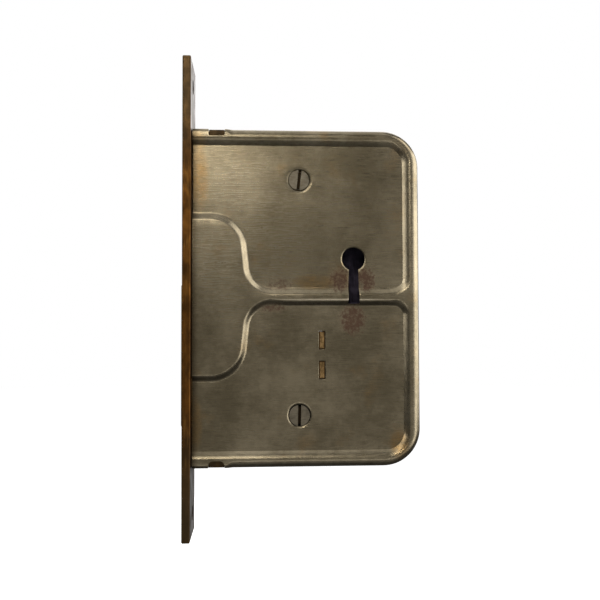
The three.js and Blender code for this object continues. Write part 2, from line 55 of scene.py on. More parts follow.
# The case, in millimetres. Heights called "up" are measured from MID_Z.
MID_Z = -16.4  # the case and the faceplate are centred here
NEAR, FAR = -7.95, 7.95  # outer faces of the case
PARTING = 1.6  # where the cover meets the back shell
SEAM = 0.05  # gap between the two
FRONT, REAR = 3.9, 101.1
HALF_HEIGHT = 72.1
CORNER = 15.8
EDGE = 3.3  # radius of the case's outer edge
FRONT_EDGE = 1.7  # and beside the faceplate
FRONT_EDGE_X = (17.6, 21.5)  # where one gives way to the other
SHEET = 1.1

# The pressed panels, and the plateau and the ridge between them.
RECESS = 1.8  # depth of the panels
PANEL_Y = NEAR + RECESS
RIM_SLOPE, RIDGE_SLOPE = 3.5, 3.0  # width of the slope beside the rim and plateau, and below the ridge
PLATEAU_LEAN, RIDGE_LEAN = 1.0, 0.75  # above 1 the slope is steepest near its crest, below 1 near its foot
PANEL_OUTER, PANEL_REAR, PLATEAU = 65.1, 94.1, 36.2  # foot of the slope, heights from MID_Z
RIDGE = {1: 4.2, -1: 3.8}  # the same beside the ridge, above and below it
PANEL_CORNER, RIDGE_CORNER = 7.5, 3.8
SWEEP_X, SWEEP_RADIUS, RETURN_RADIUS, LEAN = 11.5, 16.0, 9.5, math.radians(6)
RIDGE_START, RIDGE_END = 36, 92  # the ridge runs between these
RIDGE_FADE_IN, RIDGE_FADE_OUT = 8, 4  # lengths over which its slope changes at each end
RIDGE_BAND = 15  # the ridge's slopes lie within this height of MID_Z
PLATEAU_BAND = PLATEAU + 8  # and the plateau's within this
BEFORE_FRONT = -20  # the panels' outlines run on to here where distances to them are measured

# The holes.
KEY_X = 72.7
KEYHOLE_RADIUS, SLOT_TOP, SLOT_FOOT, SLOT_END = 4.95, 1.95, 2.45, -19.3
SCREW_X, SCREW_UP, SCREW_HOLE = 49.3, 50.35, 4.56
BOLT_MID = -41.15
TENON_X, TENON_HALF = 59.0, 1.35  # the ends of the bolt guide's two tenons
TENON_UP, TENON_LONG = 6.35, 3.85  # their middle above and below BOLT_MID, and half their length
NEAR_GAP, FAR_GAP = 0.13, 0.04  # round the tenons, in the cover and in the back shell
NOTCH_X, NOTCH_UP, NOTCH_FAR = (10.7, 17.6), 68.9, -2.5
NOTCH_ARCH = 2.2  # rounding of the lower notch
PAST = 2  # how far a notch's cutter reaches past the case
DIMPLE_REACH = 3  # how far round a screw hole the dimple's inner side is trimmed
DIMPLE_SINK = 0.05  # how far it may stand out inside the sheet

# The edges of the holes, as pairs of distance from the hole and drop below the sheet.
CHAMFER = ((0, 0.36), (0.1, 0.27), (0.5, 0.03), (0.6, 0), (0.8, 0))
PUNCHED = ((0, 0.06), (0.06, 0.01), (0.12, 0), (0.3, 0))
DIMPLE = ((0, 0.5), (0.1, 0.4), (0.25, 0.3), (0.45, 0.19), (0.7, 0.09), (1, 0.03), (1.3, 0), (1.5, 0))
SLOT_DROP = 0.3  # share of the chamfer's drop that the keyhole's slot has

# The meshes.
GRID = 3.0  # spacing of the points that carry the sheet's slight waves
RIM_CLEAR, HOLE_CLEAR = 1.0, 0.8  # how far these points stay from the edges
WAVE, WAVE_SINK = 0.035, 0.04  # height of the waves, and how far they are sunk to stay behind the face
WAVE_START, WAVE_FADE = 0.5, 4  # they start this far inside the rim and reach full height over this length
ROUND_STEPS, SLOT_STEPS = 48, 40
EDGE_STEPS = 8  # rings round the case's outer edge
SLOPE_LINES, INSIDE_FOOT = 14, -0.3  # lines along the slope, from just inside its foot
FRONT_STEPS, FRONT_END, REAR_STEPS = 15, 24, 36  # points along the case's outline
ON_LINE = 1e-3

# Colours of the metals, their dirt and their wear, and the painted shade and painted highlight laid on
# them.
STEEL_DARK, STEEL_LIGHT = (0.125, 0.103, 0.064), (0.262, 0.22, 0.148)
# The middle one of these is a painted highlight, laid along the ridge's lower crest.
STEEL_BRUSHED, STEEL_CREST_HIGHLIGHT, STEEL_DULL = (0.35, 0.3, 0.21), (0.43, 0.37, 0.27), (0.09, 0.073, 0.043)
STAIN, RUST = (0.215, 0.135, 0.055), (0.047, 0.02, 0.011)
# These three are partly painted shade: dark rings and strips where the parts meet, round the screw heads,
# along the faceplate and round the tenons' ends.
RING_SHADE_DIRT, SEAM_SHADE_DIRT, TENON_SHADE_DIRT = (0.03, 0.023, 0.012), (0.05, 0.036, 0.02), (0.035, 0.02, 0.01)
# Both are partly painted shade: the dark floor of the screws' slots, and the dark patch on the levers
# round their pivot.
RECESS_SHADE_GRIME, PIVOT_SHADE_OIL = (0.018, 0.012, 0.006), (0.02, 0.014, 0.006)
BRONZE_DARK, BRONZE_LIGHT = (0.045, 0.019, 0.005), (0.125, 0.052, 0.011)
BRONZE_WIPED, BRONZE_SPOT, BRONZE_END = (0.28, 0.15, 0.04), (0.1, 0.04, 0.012), (0.047, 0.032, 0.016)
TENON_DARK, TENON_LIGHT = (0.12, 0.075, 0.03), (0.31, 0.195, 0.085)
# The inside of the sheets is near-black and bluish: painted shade, with grime.
INSIDE_SHADE_DARK, INSIDE_SHADE_LIGHT = (0.02, 0.017, 0.026), (0.07, 0.06, 0.085)
ALONG_X, ACROSS_SCREW, ALONG_Z = (0.05, 1, 1), (0.1, 1, 1), (1, 1, 0.05)  # directions of the fine brushing

# Patches on the cover: x, z, half width, half height and strength.
RUST_SPOTS = (
    (KEY_X - 6, -9, 6, 7.5, 1),
    (KEY_X + 5.5, -9, 5.5, 7.5, 1),
    (KEY_X - 0.5, -26, 8, 9.5, 1),
    (40, -11, 9, 4, 0.65),
    (38, -21, 9, 3, 0.75),
)
STAIN_SPOTS = (
    (6.5, 34, 5, 17, 0.9),
    (5, 50, 6, 6, 0.6),
    (5, -70, 4, 14, 0.8),
    (56, -10, 12, 4, 0.7),
    (92, -79, 5, 8, 0.9),
)
DULL_SPOTS = ((47, 7, 27, 21, 0.5), (78, 12, 28, 26, 0.3), (58, 30, 10, 8, 0.2))
RING_SHADE_REACH = SCREW_HOLE + 0.6  # painted shade and dirt in the dimples, close round the screw heads
RING_SHADE_SPOTS = tuple((SCREW_X, MID_Z + side * SCREW_UP, RING_SHADE_REACH, RING_SHADE_REACH, 8) for side in (1, -1))
CREST_HIGHLIGHT_SPOT = (64, -17.5, 30.8, 0.6, 1)  # a painted highlight along the ridge's lower crest
FRONT_SHADE_DIRT = 3.2  # width of the painted shade and dirt where the case meets the faceplate
END_PATINA = (44, 84)  # the faceplate turns duller between these heights from MID_Z

# The softened edges of the CAD nodes: bevel widths, and the welding and flattening before the bevel.
EDGE_WIDTHS = {"faceplate": 0.35, "bolt_head": 0.5, "upper_cover_screw": 0.15, "lower_cover_screw": 0.15}
OTHER_EDGES = 0.12
WELD_GAP, FLAT_ANGLE, EDGE_ANGLE = 0.002, 0.5, 40

# The stage, in metres.
FLOOR_Z, FLOOR_RADIUS, FLOOR_GLOW = -0.33, 4, 0.92
LIT_MIDDLE = (0.05, 0, -0.016)  # every lamp faces this point
LENS, SENSOR = 46.76, 36
CAMERA_AT = (0.02988, -0.33844, -0.03077)
CAMERA_AHEAD, CAMERA_UP = (0.05927, 0.99746, 0.03945), (0.00064, -0.03955, 0.99922)


# ------------------------------------------------ outlines, as arrays of (x, z) in millimetres
def arc(x, z, radius, start, end, steps=20):
    turn = np.linspace(start, end, steps + 1)
    return np.column_stack((x + radius * np.cos(turn), z + radius * np.sin(turn)))


def path(*pieces):
    """The pieces joined into one line, with repeated points dropped."""
    points = np.vstack([np.atleast_2d(piece) for piece in pieces])
    kept = np.r_[True, np.linalg.norm(np.diff(points, axis=0), axis=1) > 1e-6]
    return points[kept]


def panel_outline(side, grow, start_x=FRONT):
    """Foot of the slope round one panel, grown outwards: an open line that starts and ends at start_x."""
    radii = SWEEP_RADIUS + RETURN_RADIUS
    ridge = RIDGE[side]
    rise = PLATEAU - SWEEP_RADIUS - ridge - RETURN_RADIUS
    straight = (rise + radii * math.sin(LEAN)) / math.cos(LEAN)
    return_x = SWEEP_X + radii * math.cos(LEAN) + straight * math.sin(LEAN)
    corner_x = PANEL_REAR - PANEL_CORNER
    line = path(
        (start_x, PANEL_OUTER + grow),
        arc(corner_x, PANEL_OUTER - PANEL_CORNER, PANEL_CORNER + grow, QUARTER, 0),
        arc(PANEL_REAR - RIDGE_CORNER, ridge + RIDGE_CORNER, RIDGE_CORNER + grow, 0, -QUARTER),
        arc(return_x, ridge + RETURN_RADIUS, RETURN_RADIUS + grow, -QUARTER, -math.pi + LEAN),
        arc(SWEEP_X, PLATEAU - SWEEP_RADIUS, SWEEP_RADIUS - grow, LEAN, QUARTER),
        (start_x, PLATEAU - grow),
    )
    return np.column_stack((line[:, 0], MID_Z + side * line[:, 1]))


def edge_radius(x):
    """The case's outer edge is sharper beside the faceplate."""
    start, end = FRONT_EDGE_X
    share = np.clip((x - start) / (end - start), 0, 1)
    return FRONT_EDGE + (EDGE - FRONT_EDGE) * share * share * (3 - 2 * share)


def case_outline(turn):
    """The case where its rounded edge has turned by this angle, from bottom front to top front."""
    inset = EDGE * (1 - math.sin(turn))
    top, bottom, radius = MID_Z + HALF_HEIGHT, MID_Z - HALF_HEIGHT, CORNER
    front_part = np.linspace(*FRONT_EDGE_X, FRONT_STEPS)
    straight = np.r_[FRONT, front_part, np.arange(FRONT_END, REAR - radius, GRID)]
    own = edge_radius(straight) * (1 - math.sin(turn))
    low = np.column_stack((straight, bottom + own))
    high = np.column_stack((straight, top - own))[::-1]
    rear_arc = radius - inset
    rear_heights = np.linspace(bottom + radius, top - radius, REAR_STEPS)
    return path(
        low,
        arc(REAR - radius, bottom + radius, rear_arc, -QUARTER, 0),
        np.column_stack((np.full(REAR_STEPS, REAR - inset), rear_heights)),
        arc(REAR - radius, top - radius, rear_arc, 0, QUARTER),
        high,
    )


def dense(line, loops=False):
    """The line with extra points on its long straight parts, so that it carries the sheet's waves."""
    ends = np.roll(line, -1, axis=0) if loops else line[1:]
    pieces = []
    for start, end in zip(line, ends):
        count = max(1, math.ceil(np.linalg.norm(end - start) / GRID))
        pieces.append(start + np.linspace(0, 1, count, endpoint=False)[:, None] * (end - start))
    if not loops:
        pieces.append(line[-1:])
    return np.vstack(pieces)


def keyhole_outline(grow):
    """The round hole and the slot below it, grown outwards."""
    half = SLOT_TOP
    for _ in range(4):  # half width of the slot where it meets the round, found closer each time
        half = SLOT_TOP + (SLOT_FOOT - SLOT_TOP) * math.sqrt(KEYHOLE_RADIUS**2 - half**2) / -SLOT_END
    round_radius = KEYHOLE_RADIUS + grow
    turn = math.asin((half + grow) / round_radius)
    ring = arc(KEY_X, 0, round_radius, -QUARTER + turn, 3 * QUARTER - turn, ROUND_STEPS)
    drop = np.linspace(0, 1, SLOT_STEPS)[1:, None]
    left = ring[-1] + drop * (np.array([KEY_X - SLOT_FOOT - grow, SLOT_END - grow]) - ring[-1])
    right = ring[0] + drop[::-1] * (np.array([KEY_X + SLOT_FOOT + grow, SLOT_END - grow]) - ring[0])
    return path(ring, left, right)


def circle(x, z, radius, grow):
    return arc(x, z, radius + grow, 0, 4 * QUARTER, ROUND_STEPS)[:-1]


def rectangle(x0, x1, z0, z1, grow):
    low_x, high_x, low_z, high_z = x0 - grow, x1 + grow, z0 - grow, z1 + grow
    corners = [(low_x, low_z), (high_x, low_z), (high_x, high_z), (low_x, high_z)]
    return dense(np.array(corners, float), loops=True)


# ------------------------------------------------ pressed sheet
def inside(points, polygon):
    """Which points lie inside a closed polygon."""
    found = np.zeros(len(points), bool)
    for (x0, z0), (x1, z1) in zip(polygon, np.roll(polygon, -1, axis=0)):
        spans = (z0 > points[:, 1]) != (z1 > points[:, 1])
        with np.errstate(divide="ignore", invalid="ignore"):
            crossing = x0 + (points[:, 1] - z0) * (x1 - x0) / (z1 - z0)
        found ^= spans & (points[:, 0] < crossing)
    return found


def distance(points, line):
    """Distance from each point to the nearest part of an open line."""
    best = np.full(len(points), np.inf)
    for start, end in zip(line[:-1], line[1:]):
        along = end - start
        share = np.clip((points - start) @ along / (along @ along), 0, 1)
        best = np.minimum(best, np.linalg.norm(points - start - share[:, None] * along, axis=1))
    return best


def beside_ridge(points):
    """1 along the middle of the ridge, falling to 0 beside the rim and the plateau."""
    x, up = points[:, 0], np.abs(points[:, 1] - MID_Z)
    share = np.minimum((x - RIDGE_START) / RIDGE_FADE_IN, (RIDGE_END - x) / RIDGE_FADE_OUT)
    return np.clip(share, 0, 1) * (up < RIDGE_BAND)


def beside_middle(points):
    """1 beside the plateau and the ridge, falling to 0 beside the rim."""
    x, up = points[:, 0], np.abs(points[:, 1] - MID_Z)
    return np.clip((RIDGE_END - x) / RIDGE_FADE_OUT, 0, 1) * (up < PLATEAU_BAND)


def pressed_depth(points):
    """How far the sheet is pressed in: all of RECESS in a panel, none on the rim, ridge and plateau.

    Beside the rim the slope is steep at its foot and rounds over widely. Beside the plateau and the ridge
    both its ends are rounded.
    """
    depth = np.zeros(len(points))
    middle = beside_middle(points)
    for side in (1, -1):
        tight = beside_ridge(points) if side < 0 else np.zeros(len(points))
        width = RIM_SLOPE + (RIDGE_SLOPE - RIM_SLOPE) * tight
        lean = PLATEAU_LEAN + (RIDGE_LEAN - PLATEAU_LEAN) * tight
        foot = panel_outline(side, 0, start_x=BEFORE_FRONT)
        away = distance(points, foot)
        away[inside(points, foot)] = 0
        share = np.clip(away / width, 0, 1)
        sharp_foot = 1 - np.sin(QUARTER * share)
        round_foot = (1 + np.cos(math.pi * share**lean)) / 2
        depth = np.maximum(depth, RECESS * (sharp_foot + (round_foot - sharp_foot) * middle))
    return depth


def triangulate(lines, closed, loose):
    """A triangle mesh through all of these lines and loose points: (x, z) points and triangles."""
    starts = np.cumsum([0] + [len(line) for line in lines])
    edges = []
    for first, line, loops in zip(starts, lines, closed):
        numbers = list(range(first, first + len(line)))
        edges += list(zip(numbers[:-1], numbers[1:]))
        if loops:
            edges.append((numbers[-1], numbers[0]))
    points = [Vector(p) for p in np.vstack([*lines, loose])]
    found = delaunay_2d_cdt(points, edges, [], 1, 1e-5)
    return np.array([tuple(v) for v in found[0]]), np.array(found[2])


def waves(points):
    """Slight unevenness of the pressed sheet, in millimetres."""
    x, z = points.T
    return WAVE * np.sin(x / 7.3 + 1.1 * np.sin(z / 17)) * np.sin(z / 9.1 + x / 31 + 0.7)


def closed_line(outline):
    return np.vstack((outline, outline[:1]))


def grid_points(rim, holes):
    """Points inside the rim, clear of the holes' edges."""
    low, high = rim.min(axis=0), rim.max(axis=0)
    x, z = np.meshgrid(np.arange(low[0] + 1, high[0], GRID), np.arange(low[1] + 1, high[1], GRID))
    points = np.column_stack((x.ravel(), z.ravel()))
    keep = inside(points, rim) & (distance(points, rim) > RIM_CLEAR)
    for hole, lip in holes:
        outline = hole(lip[-1][0])
        keep &= ~inside(points, outline) & (distance(points, closed_line(outline)) > HOLE_CLEAR)
    return points[keep]


def face_lines(rim, holes, panels):
    """The lines that the face's triangles follow, and whether each one closes on itself."""
    lines, closed = [rim], [True]
    if panels:
        for side in (1, -1):
            for grow in np.linspace(INSIDE_FOOT, RIM_SLOPE, SLOPE_LINES):
                lines.append(dense(panel_outline(side, grow)))
                closed.append(False)
    for hole, lip in holes:
        for grow, _ in lip:
            lines.append(hole(grow))
            closed.append(True)
    return lines, closed


def lip_depth(points, holes):
    """How far the edges of the holes drop below the sheet."""
    depth = np.zeros(len(points))
    for hole, lip in holes:
        for grow, drop in lip:
            on_ring = distance(points, closed_line(hole(grow))) < ON_LINE
            in_slot = on_ring & (points[:, 1] < -KEYHOLE_RADIUS) & (points[:, 1] > SLOT_END - 1)
            depth += np.where(in_slot, SLOT_DROP * drop, np.where(on_ring, drop, 0))
    return depth


def skirt(rim_numbers, face_y, outward, first):
    """Points and faces of the rounded edge and the straight skirt, from the rim to the parting."""
    turns = np.linspace(0, QUARTER, EDGE_STEPS)[1:]
    rings = [(turn, face_y - outward * EDGE * (1 - math.cos(turn))) for turn in turns]
    rings.append((QUARTER, PARTING + (0 if outward < 0 else SEAM)))
    vertices, faces, previous = [], [], rim_numbers
    for turn, y in rings:
        outline = case_outline(turn)
        front = edge_radius(outline[:, 0]) / EDGE
        ys = face_y + (y - face_y) * (front if turn < QUARTER else np.ones(len(outline)))
        start = first + len(vertices)
        current = list(range(start, start + len(outline)))
        vertices += [(x, edge_y, z) for (x, z), edge_y in zip(outline, ys)]
        faces += list(zip(previous[:-1], current[:-1], current[1:], previous[1:]))
        previous = current
    return vertices, faces


def sheet_mesh(name, face_y, outward, holes, panels):
    """One half of the case: a face with punched holes, a rounded edge and a skirt to the parting.

    outward is the sign of the Y that the face looks along. holes pairs each hole's outline with its lip.
    """
    rim = case_outline(0)
    points, triangles = triangulate(*face_lines(rim, holes, panels), grid_points(rim, holes))
    middles = points[triangles].mean(axis=1)
    keep = inside(middles, rim)
    for hole, _ in holes:
        keep &= ~inside(middles, hole(0))
    depth = lip_depth(points, holes)
    if panels:
        depth += pressed_depth(points)
    fade = np.clip((distance(points, rim) - WAVE_START) / WAVE_FADE, 0, 1)
    heights = face_y - outward * (depth + fade * (WAVE_SINK + waves(points)))
    vertices = [(x, y, z) for (x, z), y in zip(points, heights)]
    faces = [tuple(t) for t in triangles[keep]]
    lookup = {(round(x, 3), round(z, 3)): i for i, (x, z) in enumerate(points)}
    rim_numbers = [lookup[(round(x, 3), round(z, 3))] for x, z in rim]
    edge_vertices, edge_faces = skirt(rim_numbers, face_y, outward, len(vertices))
    return make_mesh(name, vertices + edge_vertices, faces + edge_faces, Vector((0, outward, 0)))


def make_mesh(name, vertices, faces, front=None):
    """A mesh object from millimetres. Its largest face looks along front."""
    mesh = bpy.data.meshes.new(name)
    mesh.from_pydata([Vector(v) * MM for v in vertices], [], faces)
    build = bmesh.new()
    build.from_mesh(mesh)
    bmesh.ops.delete(build, geom=[v for v in build.verts if not v.link_faces], context="VERTS")
    bmesh.ops.recalc_face_normals(build, faces=build.faces)
    if front is not None:
        largest = max(build.faces, key=lambda f: f.calc_area())
        if largest.normal.dot(front) < 0:
            bmesh.ops.reverse_faces(build, faces=build.faces)
    build.to_mesh(mesh)
    build.free()
    mesh.shade_smooth()
    obj = bpy.data.objects.new(name, mesh)
    bpy.context.scene.collection.objects.link(obj)
    return obj


def apply_modifiers(obj):
    """Fixes the object's modifiers into its mesh."""
    bpy.context.view_layer.update()
    shaped = obj.evaluated_get(bpy.context.evaluated_depsgraph_get())
    mesh = bpy.data.meshes.new_from_object(shaped)
    obj.modifiers.clear()
    obj.data = mesh


def cut_away(obj, cutters):
    for cutter in cutters:
        step = obj.modifiers.new("cut", "BOOLEAN")
        step.operation = "DIFFERENCE"
        step.solver = "EXACT"
        step.object = cutter
    apply_modifiers(obj)
    for cutter in cutters:
        bpy.data.objects.remove(cutter)


def thicken(obj, thickness):
    solidify = obj.modifiers.new("sheet", "SOLIDIFY")
    solidify.thickness = thickness * MM
    solidify.offset = -1
    solidify.material_offset = 1
    solidify.material_offset_rim = 0
    apply_modifiers(obj)


def smooth_by_angle(obj, degrees=35):
    obj.data.shade_smooth()
    obj.data.set_sharp_from_angle(angle=math.radians(degrees))


def window(side, gap):
    """The hole for one tenon of the bolt guide."""
    middle = BOLT_MID + side * TENON_UP
    sides = (TENON_X - TENON_HALF, TENON_X + TENON_HALF, middle - TENON_LONG, middle + TENON_LONG)
    return lambda grow: rectangle(*sides, grow + gap)


def flatten_inside(cover, limit):
    """Trims the dimples' inner side, so that they stay clear of the levers."""
    for vertex in cover.data.vertices:
        x, y, z = vertex.co / MM
        beside = min(math.hypot(x - SCREW_X, z - MID_Z - side * SCREW_UP) for side in (1, -1))
        if beside < SCREW_HOLE + DIMPLE_REACH and y > limit:
            vertex.co.y = limit * MM


def notch_outline(side):
    """The notch in one end of the rim, heights from MID_Z. The lower one is arched."""
    start, end = NOTCH_X
    top = HALF_HEIGHT + PAST
    if side > 0:
        return rectangle(start, end, NOTCH_UP, top, 0)
    arch_up = NOTCH_UP + NOTCH_ARCH
    return dense(
        path(
            (start, top),
            arc(start + NOTCH_ARCH, arch_up, NOTCH_ARCH, 2 * QUARTER, 3 * QUARTER, EDGE_STEPS),
            arc(end - NOTCH_ARCH, arch_up, NOTCH_ARCH, 3 * QUARTER, 4 * QUARTER, EDGE_STEPS),
            (end, top),
        )
    )


def notch_cutter(side):
    outline = notch_outline(side)
    count = len(outline)
    rings = [[(x, y, MID_Z + side * up) for x, up in outline] for y in (NEAR - PAST, NOTCH_FAR)]
    sides = [(i, (i + 1) % count, count + (i + 1) % count, count + i) for i in range(count)]
    ends = [tuple(range(count)), tuple(range(count, 2 * count))]
    return make_mesh("notch", rings[0] + rings[1], ends + sides)


def screw_hole(side):
    return lambda grow: circle(SCREW_X, MID_Z + side * SCREW_UP, SCREW_HOLE, grow)


def build_cover(outside, shaded_inside_steel):
    holes = [(keyhole_outline, CHAMFER)]
    for side in (1, -1):
        holes.append((window(side, NEAR_GAP), PUNCHED))
        holes.append((screw_hole(side), DIMPLE))
    cover = sheet_mesh("cover", NEAR, -1, holes, panels=True)
    paint(cover, outside, shaded_inside_steel)
    thicken(cover, SHEET)
    flatten_inside(cover, PANEL_Y + SHEET + DIMPLE_SINK)
    cut_away(cover, [notch_cutter(1), notch_cutter(-1)])
    smooth_by_angle(cover)
    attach(cover, "case")
    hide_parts("case_cover")


def build_back(outside, shaded_inside_steel):
    holes = [(window(side, FAR_GAP), PUNCHED) for side in (1, -1)]
    shell = sheet_mesh("back_shell", FAR, 1, holes, panels=False)
    paint(shell, outside, shaded_inside_steel)
    thicken(shell, SHEET)
    smooth_by_angle(shell)
    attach(shell, "case")
    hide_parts("case_back_shell")


# ------------------------------------------------ materials
class Shader:
    """Short names for building one node material in row-frame millimetres."""

    def __init__(self, name):
        self.material = bpy.data.materials.new(name)
        self.material.use_nodes = True
        self.nodes = self.material.node_tree.nodes
        self.links = self.material.node_tree.links
        self.surface = self.nodes["Principled BSDF"]
        place = self.node("ShaderNodeTexCoord").outputs["Object"]
        self.place = self.scaled(place, (1 / MM,) * 3)

    def node(self, kind, **settings):
        made = self.nodes.new(kind)
        for key, value in settings.items():
            setattr(made, key, value)
        return made

    def feed(self, socket, value):
        if isinstance(value, bpy.types.NodeSocket):
            self.links.new(value, socket)
        else:
            socket.default_value = value

    def scaled(self, vector, scale):
        made = self.node("ShaderNodeMapping")
        self.feed(made.inputs["Vector"], vector)
        made.inputs["Scale"].default_value = scale
        return made.outputs["Vector"]

    def noise(self, scale=(1, 1, 1), size=1.0, detail=4.0, rough=0.55):
        """Noise with features about this size, stretched along the axes whose scale is small."""
        made = self.node("ShaderNodeTexNoise")
        self.feed(made.inputs["Vector"], self.scaled(self.place, scale))
        made.inputs["Scale"].default_value = 1 / size
        made.inputs["Detail"].default_value = detail
        made.inputs["Roughness"].default_value = rough
        return made.outputs["Fac"]

    def ramp(self, value, low, high, out_low=0.0, out_high=1.0):
        made = self.node("ShaderNodeMapRange", interpolation_type="SMOOTHSTEP")
        self.feed(made.inputs["Value"], value)
        made.inputs["From Min"].default_value = low
        made.inputs["From Max"].default_value = high
        made.inputs["To Min"].default_value = out_low
        made.inputs["To Max"].default_value = out_high
        return made.outputs["Result"]

    def math(self, operation, a, b=0.0):
        made = self.node("ShaderNodeMath", operation=operation)
        self.feed(made.inputs[0], a)
        self.feed(made.inputs[1], b)
        return made.outputs["Value"]

    def mix(self, share, a, b):
        made = self.node("ShaderNodeMix", data_type="RGBA")
        self.feed(made.inputs["Factor"], share)
        for socket, value in ((made.inputs[6], a), (made.inputs[7], b)):
            self.feed(socket, value if isinstance(value, bpy.types.NodeSocket) else (*value, 1))
        return made.outputs[2]

    def axis(self, which):
        made = self.node("ShaderNodeSeparateXYZ")
        self.feed(made.inputs["Vector"], self.place)
        return made.outputs[which]

    def from_middle(self, which, middle):
        """Distance from a plane across one axis."""
        return self.math("ABSOLUTE", self.math("SUBTRACT", self.axis(which), middle))

    def spot(self, x, z, reach_x, reach_z, peak):
        """A soft patch on the face, strongest at its middle."""
        dx = self.math("DIVIDE", self.math("SUBTRACT", self.axis("X"), x), reach_x)
        dz = self.math("DIVIDE", self.math("SUBTRACT", self.axis("Z"), z), reach_z)
        far = self.math("ADD", self.math("MULTIPLY", dx, dx), self.math("MULTIPLY", dz, dz))
        return self.ramp(far, 1.0, 0.0, 0.0, peak)

    def spots(self, places):
        """Several patches as one mask, which has the strongest of them everywhere."""
        masks = [self.spot(*place) for place in places]
        joined = masks[0]
        for mask in masks[1:]:
            joined = self.math("MAXIMUM", joined, mask)
        return joined

    def blend(self, a, share_a, b):
        """A weighted mean of two values."""
        return self.math("ADD", self.math("MULTIPLY", a, share_a), self.math("MULTIPLY", b, 1 - share_a))

    def bump(self, height, strength, distance, before=None):
        made = self.node("ShaderNodeBump")
        self.feed(made.inputs["Height"], height)
        made.inputs["Strength"].default_value = strength
        made.inputs["Distance"].default_value = distance * MM
        if before is not None:
            self.feed(made.inputs["Normal"], before)
        return made.outputs["Normal"]

    def finish(self, color, roughness, metallic=1.0, normal=None, **constants):
        self.feed(self.surface.inputs["Base Color"], color)
        self.feed(self.surface.inputs["Roughness"], roughness)
        self.feed(self.surface.inputs["Metallic"], metallic)
        if normal is not None:
            self.feed(self.surface.inputs["Normal"], normal)
        for key, value in constants.items():
            self.surface.inputs[key.replace("_", " ")].default_value = value
        return self.material


def pressed_steel(name, rusty):
    """Brushed steel with dull patches and painted shade by the faceplate. The rusty kind has the cover's
    own stains and rust, painted shade round the screws and a painted highlight on the ridge.
    """
    s = Shader(name)
    brushing = s.noise(scale=(0.03, 1, 1), size=0.22, detail=3)
    fine = s.noise(size=2.4, detail=9, rough=0.7)
    mottled = s.blend(s.noise(size=30, detail=5), 0.7, fine)
    tone = s.mix(s.ramp(mottled, 0.36, 0.64), STEEL_DARK, STEEL_LIGHT)
    tone = s.mix(s.ramp(brushing, 0.3, 0.75, 0, 0.12), tone, STEEL_BRUSHED)
    stain = s.ramp(s.noise(size=11, detail=7), 0.55, 0.75, 0, 0.45)
    speckle = s.noise(size=1.3, detail=10, rough=0.75)
    rust = s.ramp(speckle, 0.66, 0.8)
    if rusty:
        tone = s.mix(s.spots(DULL_SPOTS), tone, STEEL_DULL)
        # a painted highlight along the ridge's lower crest
        tone = s.mix(s.spot(*CREST_HIGHLIGHT_SPOT), tone, STEEL_CREST_HIGHLIGHT)
        # painted shade and dirt in the dimples round the screw heads
        tone = s.mix(s.spots(RING_SHADE_SPOTS), tone, RING_SHADE_DIRT)
        stain = s.math("MAXIMUM", stain, s.spots(STAIN_SPOTS))
        gathered = s.math("MULTIPLY", s.spots(RUST_SPOTS), 0.29)
        rust = s.ramp(s.math("ADD", speckle, gathered), 0.57, 0.82)
    tone = s.mix(s.math("MULTIPLY", stain, s.ramp(fine, 0.35, 0.6, 0.4, 1)), tone, STAIN)
    tone = s.mix(s.math("MULTIPLY", rust, 0.9), tone, RUST)
    # painted shade and dirt, darkest where the case meets the faceplate
    tone = s.mix(s.ramp(s.axis("X"), FRONT, FRONT + FRONT_SHADE_DIRT, 0.75, 0), tone, SEAM_SHADE_DIRT)
    rough = s.math("ADD", s.ramp(brushing, 0.2, 0.8, 0.24, 0.34), s.math("MULTIPLY", rust, 0.3))
    normal = s.bump(s.noise(size=20, detail=2), 0.5, 0.25)
    normal = s.bump(brushing, 0.02, 0.01, normal)
    normal = s.bump(fine, 0.1, 0.03, normal)
    metallic = s.ramp(rust, 0, 1, 1, 0.82)
    return s.finish(tone, rough, metallic, normal, Anisotropic=0.35)


def patina_bronze(name, dark=BRONZE_DARK, light=BRONZE_LIGHT):
    """Dark bronze, wiped brighter in streaks along its length and duller towards the faceplate's ends."""
    s = Shader(name)
    stain = s.noise(scale=(1, 1, 0.7), size=6, detail=6, rough=0.6)
    wipe = s.noise(scale=(1, 1, 0.06), size=0.5, detail=4)
    tone = s.mix(s.ramp(stain, 0.35, 0.68), dark, light)
    tone = s.mix(s.ramp(wipe, 0.52, 0.8, 0, 0.5), tone, BRONZE_WIPED)
    spots = s.ramp(s.noise(size=1.4, detail=9, rough=0.7), 0.66, 0.76)
    tone = s.mix(spots, tone, BRONZE_SPOT)
    tone = s.mix(s.ramp(s.from_middle("Z", MID_Z), *END_PATINA, 0, 0.85), tone, BRONZE_END)
    rough = s.ramp(stain, 0.3, 0.7, 0.52, 0.34)
    normal = s.bump(s.noise(size=1.2, detail=7), 0.35, 0.05)
    normal = s.bump(wipe, 0.3, 0.015, normal)
    return s.finish(tone, rough, s.ramp(spots, 0, 1, 1, 0.5), normal)


def tenon_bronze(name):
    """Brown bronze with a line of painted shade and dirt round the end of each tenon."""
    s = Shader(name)
    tone = s.mix(s.ramp(s.noise(size=1.6, detail=8), 0.35, 0.65), TENON_DARK, TENON_LIGHT)
    across = s.math("SUBTRACT", s.from_middle("X", TENON_X), TENON_HALF)
    up = s.math("ABSOLUTE", s.math("SUBTRACT", s.from_middle("Z", BOLT_MID), TENON_UP))
    along = s.math("SUBTRACT", up, TENON_LONG)
    # painted shade and dirt round the end of each tenon, where it meets its window
    tone = s.mix(s.ramp(s.math("MAXIMUM", across, along), -0.6, -0.25), tone, TENON_SHADE_DIRT)
    return s.finish(tone, 0.45, 1.0, s.bump(s.noise(size=0.7, detail=6), 0.3, 0.03))


